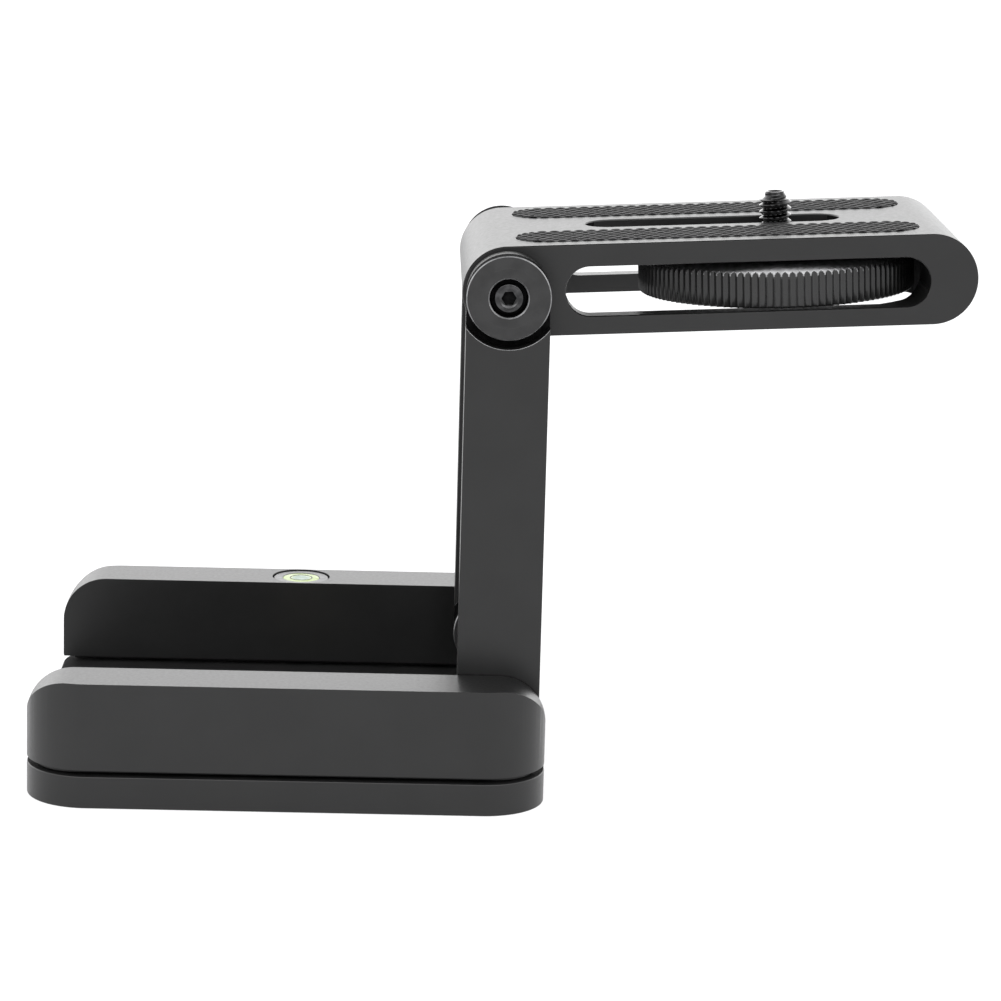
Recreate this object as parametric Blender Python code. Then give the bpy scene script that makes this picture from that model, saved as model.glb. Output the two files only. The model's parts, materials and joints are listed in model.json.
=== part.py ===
"""Folding Z-shaped tilt head for a camera: base with two rails, two arm bars and a top plate.

The base, the arm bars and the top plate nest inside each other when the head is folded.
Rest pose: the arm bars stand upright and the top plate is nearly level, rising towards +X.
Units are metres, +Z is up, and the origin is below the middle of the object's outer box.
"""
import math

import bmesh
import bpy
from mathutils import Matrix

MM = 0.001
GAP = 0.3 * MM

# Base
BASE_LENGTH = 100.0 * MM
BASE_WIDTH = 96.5 * MM
BASE_THICKNESS = 6.3 * MM
BASE_CORNER = 12.2 * MM
BASE_EDGE = 0.3 * MM
RAIL_WIDTH = 12.4 * MM
RAIL_TOP = 24.5 * MM
RAIL_TOP_CORNER = 9.0 * MM
RAIL_FOOT_CORNER = 1.5 * MM
RAIL_SEAM_HEIGHT = 0.9 * MM
RAIL_SEAM_DEPTH = 2.2 * MM
RAIL_SEAM_CORNER = 7.8 * MM
RAIL_SCREW_SPACING = 30.0 * MM
RAIL_SCREW_SHANK = 1.8 * MM
RAIL_SCREW_HEAD = 3.6 * MM
RAIL_SCREW_TIP = 13.5 * MM

# Tripod socket in the underside
SOCKET_OUTER = 7.5 * MM
SOCKET_THREAD = 4.76 * MM
REDUCER_BORE = 3.2 * MM

# Bubble level in the far rail
LEVEL_RADIUS = 5.8 * MM
LEVEL_DEPTH = 6.5 * MM
LEVEL_WALL = 1.9 * MM
LENS_THICKNESS = 1.4 * MM

# Arm bars
ARM_OUTER_WIDTH = 70.6 * MM
ARM_INNER_WIDTH = 55.4 * MM
ARM_HALF_DEPTH = 8.0 * MM
ARM_AXIS_SPACING = 81.56 * MM
BASE_AXIS_HEIGHT = 16.5 * MM
BASE_AXIS_FROM_END = 90.7 * MM

# Hinge stack, the same at all four pivots
RELIEF_RADIUS = 9.8 * MM
DISC_RADIUS = 8.1 * MM
DISC_THICKNESS = 3.6 * MM
COUNTERBORE_RADIUS = 3.7 * MM
COUNTERBORE_DEPTH = 2.9 * MM
HEAD_RADIUS = 2.7 * MM
HEAD_HEIGHT = 1.6 * MM
HEX_RADIUS = 1.5 * MM
HEX_DEPTH = 1.1 * MM
SHANK_RADIUS = 2.1 * MM
SHANK_END = 17.5 * MM
BUSH_RADIUS = 3.0 * MM
FRICTION_WASHER_RADIUS = 6.0 * MM
FRICTION_WASHER_THICKNESS = 0.6 * MM
SPRING_WASHER_RADIUS = 3.4 * MM
SPRING_WASHER_THICKNESS = 0.4 * MM

# Top plate; its own frame has X along the plate and Z out of its upper face
PLATE_WIDTH = 54.8 * MM
PLATE_RADIUS = 8.75 * MM
PLATE_CENTRES = 81.3 * MM
PLATE_TILT = math.radians(3.1)
PLATE_WALL = 4.3 * MM
POCKET_RADIUS = 27.8 * MM
POCKET_CENTRES = (28.6 * MM, 56.0 * MM)
SIDE_SLOT = (11.0 * MM, 80.9 * MM)
SIDE_SLOT_LOW = -5.1 * MM
TOP_SLOT = (16.1 * MM, 66.3 * MM)
TOP_SLOT_HALF_WIDTH = 5.1 * MM
STRIP = (2.0 * MM, 80.0 * MM)
STRIP_OFFSET = 16.4 * MM
STRIP_HALF_WIDTH = 6.8 * MM
STRIP_HEIGHT = 0.35 * MM
STRIP_RECESS = 0.5 * MM

# Wheel and camera screw
WHEEL_FROM_HINGE = 53.7 * MM
WHEEL_RADIUS = 27.3 * MM
WHEEL_LOW = -4.8 * MM
WHEEL_KNURL_TOP = 1.7 * MM
WHEEL_TOP = 3.8 * MM
WHEEL_CHAMFER = 4.0 * MM
WHEEL_EDGE = 0.5 * MM
WHEEL_SIDES = 56
CAMERA_SCREW_RADIUS = 3.175 * MM
CAMERA_SCREW_TIP = 14.2 * MM
CAMERA_SCREW_FLANGE = 5.5 * MM
CAMERA_SCREW_FLANGE_THICKNESS = 1.2 * MM
CAMERA_SCREW_CHAMFER = 0.7 * MM
COLLAR_FLANGE = 6.5 * MM
COLLAR_FLANGE_THICKNESS = 1.3 * MM
COLLAR_NECK = 4.8 * MM
COLLAR_DROP = 2.5 * MM

# Positions that follow from the sizes above
PLATE_REACH = PLATE_CENTRES * math.cos(PLATE_TILT) + PLATE_RADIUS
BASE_LEFT = -(BASE_AXIS_FROM_END + PLATE_REACH) / 2
BASE_MIDDLE = BASE_LEFT + BASE_LENGTH / 2
AXIS_X = BASE_LEFT + BASE_AXIS_FROM_END
RAIL_FOOT = BASE_THICKNESS + GAP
RAIL_CENTRE = (BASE_WIDTH - RAIL_WIDTH) / 2
ARM_OUTER = ARM_OUTER_WIDTH / 2
ARM_INNER = ARM_INNER_WIDTH / 2
PLATE_SIDE = PLATE_WIDTH / 2
PLATE_INNER_TOP = PLATE_RADIUS - PLATE_WALL
RELIEF_DEPTH = DISC_THICKNESS + GAP
WASHER_RECESS = FRICTION_WASHER_THICKNESS + GAP
BIG = 200.0 * MM
PAST = 1.0 * MM

SIDES = {"near": -1, "far": 1}
ROUND = 28
SMALL_ROUND = 16
POCKET_STEPS = 18

BLACK_METAL = (0.020, 0.020, 0.021)
DARK_STEEL = (0.055, 0.055, 0.057)


def clear_scene():
    for obj in list(bpy.data.objects):
        bpy.data.objects.remove(obj, do_unlink=True)


def make_material(name, colour, roughness, metallic):
    material = bpy.data.materials.new(name)
    material.use_nodes = True
    shader = material.node_tree.nodes["Principled BSDF"]
    shader.inputs["Base Color"].default_value = (*colour, 1.0)
    shader.inputs["Roughness"].default_value = roughness
    shader.inputs["Metallic"].default_value = metallic
    return material


def make_empty(name, location, parent=None, tilt=0.0):
    empty = bpy.data.objects.new(name, None)
    bpy.context.collection.objects.link(empty)
    empty.parent = parent
    empty.location = location
    empty.rotation_euler = (0.0, tilt, 0.0)
    return empty


def make_object(name, bm, parent=None, matrix=None):
    bmesh.ops.recalc_face_normals(bm, faces=bm.faces)
    mesh = bpy.data.meshes.new(name)
    bm.to_mesh(mesh)
    bm.free()
    mesh.shade_smooth()
    mesh.set_sharp_from_angle(angle=math.radians(30))
    obj = bpy.data.objects.new(name, mesh)
    bpy.context.collection.objects.link(obj)
    obj.parent = parent
    obj.matrix_local = matrix or Matrix.Identity(4)
    return obj


def finish_piece(obj, colour, roughness, metallic):
    obj.data.materials.append(make_material(obj.name, colour, roughness, metallic))
    return obj


def cut(target, cutter, operation="DIFFERENCE"):
    cutter.hide_render = True
    cutter.display_type = "WIRE"
    modifier = target.modifiers.new(cutter.name, "BOOLEAN")
    modifier.operation = operation
    modifier.solver = "EXACT"
    modifier.object = cutter


def arc(centre, radius, start, end, steps):
    """Points on an arc in a plane, both ends included; angles in degrees."""
    points = []
    for step in range(steps + 1):
        angle = math.radians(start + (end - start) * step / steps)
        points.append((centre[0] + radius * math.cos(angle), centre[1] + radius * math.sin(angle)))
    return points


def circle(centre, radius, steps):
    return arc(centre, radius, 0, 360, steps)[:-1]


def stadium(start, end, radius, steps=14, across=0.0):
    """A slot outline along the first axis, from one outer end to the other."""
    right = arc((end - radius, across), radius, -90, 90, steps)
    left = arc((start + radius, across), radius, 90, 270, steps)
    return right + left


def rounded_box(low, high, radii, steps=6):
    """A rectangle outline; radii are for its low-low, high-low, high-high and low-high corners."""
    corners = [(low[0], low[1]), (high[0], low[1]), (high[0], high[1]), (low[0], high[1])]
    points = []
    for index, (corner, radius) in enumerate(zip(corners, radii)):
        if radius == 0:
            points.append(corner)
            continue
        inward_x = 1 if corner[0] == low[0] else -1
        inward_y = 1 if corner[1] == low[1] else -1
        centre = (corner[0] + inward_x * radius, corner[1] + inward_y * radius)
        start = 180 + 90 * index
        points += arc(centre, radius, start, start + 90, steps)
    return points


def prism(outline, low, high, axis="Z"):
    """Extrude an outline between two heights. For axis Y the outline lies in X and Z."""
    bm = bmesh.new()
    rings = []
    for height in (low, high):
        ring = []
        for first, second in outline:
            place = (first, second, height) if axis == "Z" else (first, height, second)
            ring.append(bm.verts.new(place))
        rings.append(ring)
    bm.faces.new(rings[0])
    bm.faces.new(rings[1])
    for index in range(len(outline)):
        after = (index + 1) % len(outline)
        bm.faces.new((rings[0][index], rings[0][after], rings[1][after], rings[1][index]))
    return bm


def turned(profile, steps):
    """Spin a closed (radius, height) outline about Z; radius 0 becomes a single point."""
    bm = bmesh.new()
    rings = []
    for radius, height in profile:
        if radius == 0:
            rings.append([bm.verts.new((0, 0, height))])
            continue
        rings.append([bm.verts.new((x, y, height)) for x, y in circle((0, 0), radius, steps)])
    for index, ring in enumerate(rings):
        after = rings[(index + 1) % len(rings)]
        if len(ring) == 1 and len(after) == 1:
            continue
        for step in range(steps):
            following = (step + 1) % steps
            corners = [ring[step % len(ring)], ring[following % len(ring)]]
            corners += [after[following % len(after)], after[step % len(after)]]
            unique = list(dict.fromkeys(corners))
            bm.faces.new(unique)
    return bm


def sleeve(inner, outer, low, high, steps):
    return turned([(inner, low), (outer, low), (outer, high), (inner, high)], steps)


def along_y(side, start=0.0):
    """Place a turned piece with its own Z along the Y axis, from a given distance out."""
    turn = Matrix.Rotation(-math.pi / 2 * side, 4, "X")
    return Matrix.Translation((0, start, 0)) @ turn


def build_base_plate(root):
    low = (BASE_LEFT, -BASE_WIDTH / 2)
    high = (BASE_LEFT + BASE_LENGTH, BASE_WIDTH / 2)
    outline = rounded_box(low, high, [BASE_CORNER] * 4)
    plate = make_object("base_plate", prism(outline, 0, BASE_THICKNESS), root)
    bevel = plate.modifiers.new("edge", "BEVEL")
    bevel.width = BASE_EDGE
    bevel.segments = 1
    bevel.limit_method = "ANGLE"
    bevel.angle_limit = math.radians(50)
    socket = prism(circle((BASE_MIDDLE, 0), SOCKET_OUTER + GAP, ROUND), -PAST, BASE_THICKNESS + PAST)
    cut(plate, make_object("socket_hole", socket, root))
    for name, side, x in rail_screw_places():
        matrix = Matrix.Translation((x, side * RAIL_CENTRE, 0))
        hole = turned(countersunk_profile(GAP, -PAST, BASE_THICKNESS + PAST), SMALL_ROUND)
        cut(plate, make_object(name + "_hole", hole, root, matrix))
    finish_piece(plate, BLACK_METAL, 0.45, 0.6)


def rail_screw_places():
    places = []
    for side_name, side in SIDES.items():
        for number in range(3):
            x = BASE_MIDDLE + (number - 1) * RAIL_SCREW_SPACING
            places.append((f"rail_screw_{side_name}_{number + 1}", side, x))
    return places


def countersunk_profile(clearance, low, high):
    head = RAIL_SCREW_HEAD + clearance
    shank = RAIL_SCREW_SHANK + clearance
    cone_low = GAP
    cone_high = cone_low + head - shank
    return [(0, low), (head, low), (head, cone_low), (shank, cone_high), (shank, high), (0, high)]


def build_rail_screws(root):
    for name, side, x in rail_screw_places():
        bm = turned(countersunk_profile(0.0, GAP / 2, RAIL_SCREW_TIP), SMALL_ROUND)
        screw = make_object(name, bm, root, Matrix.Translation((x, side * RAIL_CENTRE, 0)))
        recess = prism(circle((0, 0), HEX_RADIUS, 6), -PAST, HEX_DEPTH)
        cut(screw, make_object(name + "_recess", recess, root, screw.matrix_local.copy()))
        finish_piece(screw, DARK_STEEL, 0.4, 1.0)


def build_rail(root, side_name, side):
    inner = side * (BASE_WIDTH / 2 - RAIL_WIDTH)
    outer = side * BASE_WIDTH / 2
    low = (BASE_LEFT, min(inner, outer))
    high = (BASE_LEFT + BASE_LENGTH, max(inner, outer))
    round_low = BASE_CORNER if side < 0 else 0
    round_high = BASE_CORNER if side > 0 else 0
    radii = [round_low, round_low, round_high, round_high]
    rail = make_object("rail_" + side_name, prism(rounded_box(low, high, radii), RAIL_FOOT, RAIL_TOP), root)
    ends = [RAIL_FOOT_CORNER, RAIL_FOOT_CORNER, RAIL_TOP_CORNER, RAIL_TOP_CORNER]
    elevation = rounded_box((low[0], RAIL_FOOT), (high[0], RAIL_TOP), ends)
    profile = prism(elevation, low[1] - PAST, high[1] + PAST, "Y")
    cut(rail, make_object(f"rail_{side_name}_ends", profile, root), "INTERSECT")
    inset_low = (low[0] + RAIL_SEAM_DEPTH, low[1] + RAIL_SEAM_DEPTH)
    inset_high = (high[0] - RAIL_SEAM_DEPTH, high[1] - RAIL_SEAM_DEPTH)
    inset_radii = [RAIL_SEAM_CORNER if radius else 0 for radius in radii]
    around = rounded_box((low[0] - PAST, low[1] - PAST), (high[0] + PAST, high[1] + PAST), [0] * 4)
    seam = make_object(f"rail_{side_name}_seam", prism(around, 0, RAIL_FOOT + RAIL_SEAM_HEIGHT), root)
    foot = prism(rounded_box(inset_low, inset_high, inset_radii), -PAST, RAIL_TOP)
    cut(seam, make_object(f"rail_{side_name}_foot", foot, root))
    cut(rail, seam)
    for name, screw_side, x in rail_screw_places():
        if screw_side == side:
            outline = circle((x, side * RAIL_CENTRE), RAIL_SCREW_SHANK + GAP, SMALL_ROUND)
            hole = prism(outline, 0, RAIL_SCREW_TIP + GAP)
            cut(rail, make_object(name + "_rail_hole", hole, root))
    mirrored_end = ARM_OUTER + ARM_INNER - SHANK_END + GAP
    outline = circle((AXIS_X, BASE_AXIS_HEIGHT), SHANK_RADIUS + GAP, SMALL_ROUND)
    pivot = prism(outline, 0, side * mirrored_end, "Y")
    cut(rail, make_object(f"rail_{side_name}_pivot_hole", pivot, root))
    if side > 0:
        seat = circle((BASE_MIDDLE, side * RAIL_CENTRE), LEVEL_RADIUS + GAP, ROUND)
        bm = prism(seat, RAIL_TOP - LEVEL_DEPTH - GAP, RAIL_TOP + PAST)
        cut(rail, make_object("level_seat", bm, root))
    finish_piece(rail, BLACK_METAL, 0.45, 0.6)


def build_level(root):
    place = Matrix.Translation((BASE_MIDDLE, RAIL_CENTRE, RAIL_TOP - LEVEL_DEPTH))
    inside = LEVEL_RADIUS - LEVEL_WALL
    cup = [(0, 0), (LEVEL_RADIUS, 0), (LEVEL_RADIUS, LEVEL_DEPTH), (inside, LEVEL_DEPTH)]
    cup += [(inside, LEVEL_WALL), (0, LEVEL_WALL)]
    finish_piece(make_object("level_cup", turned(cup, ROUND), root, place), (0.5, 0.52, 0.5), 0.3, 0.0)
    lens_low = LEVEL_DEPTH - LENS_THICKNESS
    fluid_low = LEVEL_WALL + GAP
    vial = inside - GAP
    fluid = prism(circle((0, 0), vial, ROUND), fluid_low, lens_low - GAP)
    finish_piece(make_object("level_fluid", fluid, root, place), (0.45, 0.75, 0.15), 0.1, 0.0)
    lens = prism(circle((0, 0), vial, ROUND), lens_low, LEVEL_DEPTH)
    finish_piece(make_object("level_lens", lens, root, place), (0.8, 0.9, 0.75), 0.05, 0.0)


def build_tripod_socket(root):
    place = Matrix.Translation((BASE_MIDDLE, 0, 0))
    insert = sleeve(SOCKET_THREAD, SOCKET_OUTER, GAP / 2, BASE_THICKNESS, ROUND)
    finish_piece(make_object("tripod_insert", insert, root, place), (0.45, 0.45, 0.46), 0.3, 1.0)
    bush = sleeve(REDUCER_BORE, SOCKET_THREAD - GAP, GAP, BASE_THICKNESS - GAP, ROUND)
    finish_piece(make_object("reducer_bush", bush, root, place), (0.5, 0.42, 0.2), 0.3, 1.0)


def build_arm(pivot, side_name, side):
    outline = [(across, along) for along, across in
               stadium(-ARM_HALF_DEPTH, ARM_AXIS_SPACING + ARM_HALF_DEPTH, ARM_HALF_DEPTH)]
    arm = make_object("arm_" + side_name, prism(outline, side * ARM_INNER, side * ARM_OUTER, "Y"), pivot)
    relief_top = ARM_OUTER - RELIEF_DEPTH
    relief_base = ARM_INNER + RELIEF_DEPTH
    cuts = [
        ("top_relief", ARM_AXIS_SPACING, RELIEF_RADIUS, relief_top, ARM_OUTER + PAST, ROUND),
        ("base_relief", 0.0, RELIEF_RADIUS, ARM_INNER - PAST, relief_base, ROUND),
        ("top_washer", ARM_AXIS_SPACING, FRICTION_WASHER_RADIUS + GAP, 0.0, ARM_INNER + WASHER_RECESS, ROUND),
        ("base_washer", 0.0, FRICTION_WASHER_RADIUS + GAP, ARM_OUTER - WASHER_RECESS, BIG, ROUND),
        ("top_bore", ARM_AXIS_SPACING, BUSH_RADIUS + GAP, 0.0, BIG, SMALL_ROUND),
        ("base_bore", 0.0, BUSH_RADIUS + GAP, 0.0, BIG, SMALL_ROUND),
    ]
    for label, height, radius, start, end, steps in cuts:
        bm = prism(circle((0, height), radius, steps), side * start, side * end, "Y")
        cut(arm, make_object(f"arm_{side_name}_{label}", bm, pivot))
    finish_piece(arm, BLACK_METAL, 0.45, 0.6)


def build_hinge_stack(prefix, parent, matrix):
    """Disc, screw, bush and washers of one pivot, along Z; the arm bar lies above its inner face."""
    disc_back = ARM_OUTER - DISC_THICKNESS
    floor = ARM_OUTER - COUNTERBORE_DEPTH
    disc = [(SHANK_RADIUS + GAP, disc_back), (DISC_RADIUS, disc_back), (DISC_RADIUS, ARM_OUTER)]
    disc += [(COUNTERBORE_RADIUS, ARM_OUTER), (COUNTERBORE_RADIUS, floor), (SHANK_RADIUS + GAP, floor)]
    piece = make_object(prefix + "_disc", turned(disc, ROUND), parent, matrix)
    finish_piece(piece, BLACK_METAL, 0.4, 0.6)
    washer_low = floor + GAP
    washer_high = washer_low + SPRING_WASHER_THICKNESS
    washer = sleeve(SHANK_RADIUS + GAP, SPRING_WASHER_RADIUS, washer_low, washer_high, SMALL_ROUND)
    finish_piece(make_object(prefix + "_spring_washer", washer, parent, matrix), (0.03, 0.03, 0.03), 0.4, 1.0)
    head_low = washer_high + GAP
    head_high = head_low + HEAD_HEIGHT
    screw = [(0, SHANK_END), (SHANK_RADIUS, SHANK_END), (SHANK_RADIUS, head_low), (HEAD_RADIUS, head_low)]
    screw += [(HEAD_RADIUS, head_high), (0, head_high)]
    piece = make_object(prefix + "_screw", turned(screw, SMALL_ROUND), parent, matrix)
    recess = prism(circle((0, 0), HEX_RADIUS, 6), head_high - HEX_DEPTH, head_high + PAST)
    cut(piece, make_object(prefix + "_screw_recess", recess, parent, matrix))
    finish_piece(piece, DARK_STEEL, 0.35, 1.0)
    bush = sleeve(SHANK_RADIUS + GAP, BUSH_RADIUS, ARM_INNER, ARM_OUTER - RELIEF_DEPTH, SMALL_ROUND)
    finish_piece(make_object(prefix + "_bush", bush, parent, matrix), (0.55, 0.42, 0.2), 0.35, 1.0)
    thickness = FRICTION_WASHER_THICKNESS
    washer = sleeve(BUSH_RADIUS + GAP, FRICTION_WASHER_RADIUS, ARM_INNER, ARM_INNER + thickness, ROUND)
    piece = make_object(prefix + "_friction_washer", washer, parent, matrix)
    finish_piece(piece, (0.6, 0.58, 0.52), 0.5, 0.0)


def pocket_outline(half):
    """The wheel pocket from above: straight sides, and ends that follow the wheel's rim."""
    reach = math.degrees(math.asin(half / POCKET_RADIUS))
    left = arc((POCKET_CENTRES[0], 0), POCKET_RADIUS, 180 - reach, 180 + reach, POCKET_STEPS)
    right = arc((POCKET_CENTRES[1], 0), POCKET_RADIUS, -reach, reach, POCKET_STEPS)
    return left + right


def build_top_plate(pivot):
    outline = stadium(-PLATE_RADIUS, PLATE_CENTRES + PLATE_RADIUS, PLATE_RADIUS, 16)
    plate = make_object("top_plate", prism(outline, -PLATE_SIDE, PLATE_SIDE, "Y"), pivot)
    pocket = prism(pocket_outline(PLATE_SIDE - PLATE_WALL), -BIG, PLATE_INNER_TOP)
    cut(plate, make_object("wheel_pocket", pocket, pivot))
    slot_radius = (PLATE_INNER_TOP - SIDE_SLOT_LOW) / 2
    middle = (PLATE_INNER_TOP + SIDE_SLOT_LOW) / 2
    side_slot = prism(stadium(*SIDE_SLOT, slot_radius, 12, middle), -BIG, BIG, "Y")
    cut(plate, make_object("side_slots", side_slot, pivot))
    top_slot = prism(stadium(*TOP_SLOT, TOP_SLOT_HALF_WIDTH, 12), 0, BIG)
    cut(plate, make_object("top_slot", top_slot, pivot))
    for side_name, side in SIDES.items():
        outline = circle((0, 0), SHANK_RADIUS + GAP, SMALL_ROUND)
        screw = prism(outline, side * (SHANK_END - GAP), side * BIG, "Y")
        cut(plate, make_object(f"plate_screw_hole_{side_name}", screw, pivot))
        seat = stadium(STRIP[0] - GAP, STRIP[1] + GAP, STRIP_HALF_WIDTH + GAP, 10, side * STRIP_OFFSET)
        groove = prism(seat, PLATE_RADIUS - STRIP_RECESS, BIG)
        cut(plate, make_object(f"strip_groove_{side_name}", groove, pivot))
    finish_piece(plate, BLACK_METAL, 0.45, 0.6)


def build_grip_strip(pivot, side_name, side):
    outline = stadium(*STRIP, STRIP_HALF_WIDTH, 10, side * STRIP_OFFSET)
    low = PLATE_RADIUS - STRIP_RECESS + GAP
    strip = make_object("grip_strip_" + side_name, prism(outline, low, PLATE_RADIUS + STRIP_HEIGHT), pivot)
    finish_piece(strip, (0.03, 0.03, 0.03), 0.7, 0.0)


def build_wheel(wheel_axis):
    collar_seat = PLATE_INNER_TOP - COLLAR_FLANGE_THICKNESS - 2 * GAP
    flange_top = WHEEL_LOW + CAMERA_SCREW_FLANGE_THICKNESS
    bore = CAMERA_SCREW_RADIUS + GAP
    flange_seat = CAMERA_SCREW_FLANGE + GAP
    rim = WHEEL_RADIUS
    wheel = [(flange_seat, WHEEL_LOW), (rim - WHEEL_EDGE, WHEEL_LOW), (rim, WHEEL_LOW + WHEEL_EDGE)]
    wheel += [(rim, WHEEL_KNURL_TOP), (rim - WHEEL_CHAMFER, WHEEL_TOP), (COLLAR_FLANGE + GAP, WHEEL_TOP)]
    wheel += [(COLLAR_FLANGE + GAP, collar_seat), (bore, collar_seat)]
    wheel += [(bore, flange_top + GAP), (flange_seat, flange_top + GAP)]
    finish_piece(make_object("camera_wheel", turned(wheel, WHEEL_SIDES), wheel_axis), BLACK_METAL, 0.45, 0.6)
    chamfer = CAMERA_SCREW_CHAMFER
    tip = CAMERA_SCREW_TIP
    radius = CAMERA_SCREW_RADIUS
    screw = [(0, WHEEL_LOW), (CAMERA_SCREW_FLANGE, WHEEL_LOW), (CAMERA_SCREW_FLANGE, flange_top)]
    screw += [(radius, flange_top), (radius, tip - chamfer), (radius - chamfer, tip), (0, tip)]
    finish_piece(make_object("camera_screw", turned(screw, ROUND), wheel_axis), DARK_STEEL, 0.3, 1.0)
    flange_low = collar_seat + GAP
    neck_low = flange_low + COLLAR_FLANGE_THICKNESS
    neck_high = PLATE_RADIUS - COLLAR_DROP
    collar = [(bore, flange_low), (COLLAR_FLANGE, flange_low), (COLLAR_FLANGE, neck_low)]
    collar += [(COLLAR_NECK, neck_low), (COLLAR_NECK, neck_high), (bore, neck_high)]
    finish_piece(make_object("slide_collar", turned(collar, ROUND), wheel_axis), (0.02, 0.02, 0.02), 0.4, 0.0)


def main():
    clear_scene()
    root = make_empty("base_frame", (0, 0, 0))
    arm_pivot = make_empty("arm_pivot", (AXIS_X, 0, BASE_AXIS_HEIGHT), root)
    plate_pivot = make_empty("plate_pivot", (0, 0, ARM_AXIS_SPACING), arm_pivot, -PLATE_TILT)
    wheel_axis = make_empty("wheel_axis", (WHEEL_FROM_HINGE, 0, 0), plate_pivot)
    build_base_plate(root)
    build_rail_screws(root)
    build_tripod_socket(root)
    build_level(root)
    for side_name, side in SIDES.items():
        build_rail(root, side_name, side)
        build_arm(arm_pivot, side_name, side)
        build_hinge_stack(f"top_pivot_{side_name}", plate_pivot, along_y(side))
        facing_in = Matrix.Translation((AXIS_X, 0, BASE_AXIS_HEIGHT))
        facing_in = facing_in @ along_y(-side, side * (ARM_OUTER + ARM_INNER))
        build_hinge_stack(f"base_pivot_{side_name}", root, facing_in)
        build_grip_strip(plate_pivot, side_name, side)
    build_top_plate(plate_pivot)
    build_wheel(wheel_axis)
    bpy.context.view_layer.update()


main()
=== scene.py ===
"""Looks for the folding tilt head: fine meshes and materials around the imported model.

Metres, +Z up. Base, arm bars and top plate each have their own frame, taken from the joints.
"""
import json
import math

import bmesh
import bpy
from mathutils import Matrix, Vector


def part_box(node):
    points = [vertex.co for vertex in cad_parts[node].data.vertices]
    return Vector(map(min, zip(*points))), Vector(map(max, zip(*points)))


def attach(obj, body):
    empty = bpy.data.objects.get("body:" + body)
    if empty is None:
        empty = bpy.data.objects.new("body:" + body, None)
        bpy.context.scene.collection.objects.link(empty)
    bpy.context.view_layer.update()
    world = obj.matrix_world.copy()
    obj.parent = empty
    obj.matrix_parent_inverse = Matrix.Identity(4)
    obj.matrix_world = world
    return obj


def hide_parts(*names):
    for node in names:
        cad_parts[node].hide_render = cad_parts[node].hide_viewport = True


MM = 0.001
SIDES = {"near": -1, "far": 1}

# Sizes that the frame does not give, in metres: base and rails
BASE_CORNER = 12.2 * MM
BASE_EDGE = 0.25 * MM
FIT_GAP = 0.05 * MM
RAIL_SCREW_SHANK = 1.8 * MM
RAIL_SCREW_SEAT = 0.6 * MM
RAIL_SCREW_GAP = 0.1 * MM
TRIPOD_PITCH = 1.5875 * MM
REDUCER_GAP = 0.2 * MM
REDUCER_BORE = 3.2 * MM
RAIL_TOP_CORNER = 9.0 * MM
RAIL_FOOT_CORNER = 1.5 * MM
RAIL_EDGE = 0.2 * MM
RAIL_SEAM_HEIGHT = 0.9 * MM
RAIL_SEAM_DEPTH = 2.2 * MM
RAIL_SEAM_CORNER = 7.8 * MM

# Bubble level
LEVEL_WALL = 1.9 * MM
LEVEL_DROP = 0.25 * MM
LEVEL_SEAT_GAP = 0.28 * MM
LEVEL_SEAT_FLOOR = 0.2 * MM
LEVEL_SEAT_EDGE = 0.12 * MM
LENS_THICKNESS = 1.0 * MM
LENS_DROP = 0.06 * MM
TARGET_RADII = (2.2 * MM, 2.45 * MM)
TARGET_RISE = 0.04 * MM
BUBBLE_RADIUS = 1.9 * MM
BUBBLE_RISE = 0.04 * MM

# Arm bars and hinges
ARM_EDGE = 0.2 * MM
RELIEF_EDGE = 0.18 * MM
RELIEF_RADIUS = 9.8 * MM
RELIEF_DEPTH = 3.9 * MM
BORE_RADIUS = 3.3 * MM
WASHER_RECESS = 0.9 * MM
WASHER_RECESS_RADIUS = 6.3 * MM
FRICTION_WASHER_RADIUS = 6.0 * MM
FRICTION_WASHER_THICKNESS = 0.6 * MM
BUSH_RADIUS = 3.0 * MM
PIVOT_BORE = 2.4 * MM
PIVOT_SHANK = 2.1 * MM
DISC_EDGE = 0.2 * MM
COUNTERBORE_RADIUS = 3.7 * MM
COUNTERBORE_DEPTH = 2.9 * MM
RIM_CHAMFER = 0.24 * MM
TURNED_MARK_RADIUS = 5.75 * MM
TURNED_MARK_WIDTH = 0.07 * MM
SPRING_WASHER_RADIUS = 3.4 * MM
SPRING_WASHER_LEVELS = (0.3 * MM, 0.7 * MM)
PIVOT_HEAD_RISE = 1.0 * MM
HEX_RADIUS = 1.45 * MM
HEX_RIM = (0.1 * MM, 0.45 * MM)
HEX_RIM_DEPTH = 0.25 * MM
HEX_DEPTH = 1.2 * MM

# Top plate and grip strips; ranges are distances along the plate from its hinge
PLATE_RADIUS = 8.75 * MM
PLATE_CENTRES = 81.3 * MM
PLATE_END_TRIM = 0.02 * MM
PLATE_EDGE = 0.25 * MM
PLATE_WALL = 4.3 * MM
POCKET_RADIUS = 27.8 * MM
POCKET_CENTRES = (28.6 * MM, 56.0 * MM)
SIDE_SLOT = (11.0 * MM, 80.9 * MM)
SIDE_SLOT_LOW = -5.1 * MM
TOP_SLOT = (16.1 * MM, 66.3 * MM)
TOP_SLOT_HALF_WIDTH = 5.1 * MM
SLOT_EDGE = 0.3 * MM
STRIP = (2.0 * MM, 80.0 * MM)
STRIP_OFFSET = 16.4 * MM
STRIP_HALF_WIDTH = 6.8 * MM
STRIP_HEIGHT = 0.35 * MM
STRIP_RECESS = 0.2 * MM
STRIP_GAP = 0.1 * MM
STRIP_SHOULDER = 0.15 * MM
STUD_PITCH = 2.4 * MM
STUD_ROWS = 8
STUD_RADII = (1.0 * MM, 0.78 * MM)
STUD_HEIGHT = 0.26 * MM
STRIP_SCALLOP = 0.22 * MM

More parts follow.
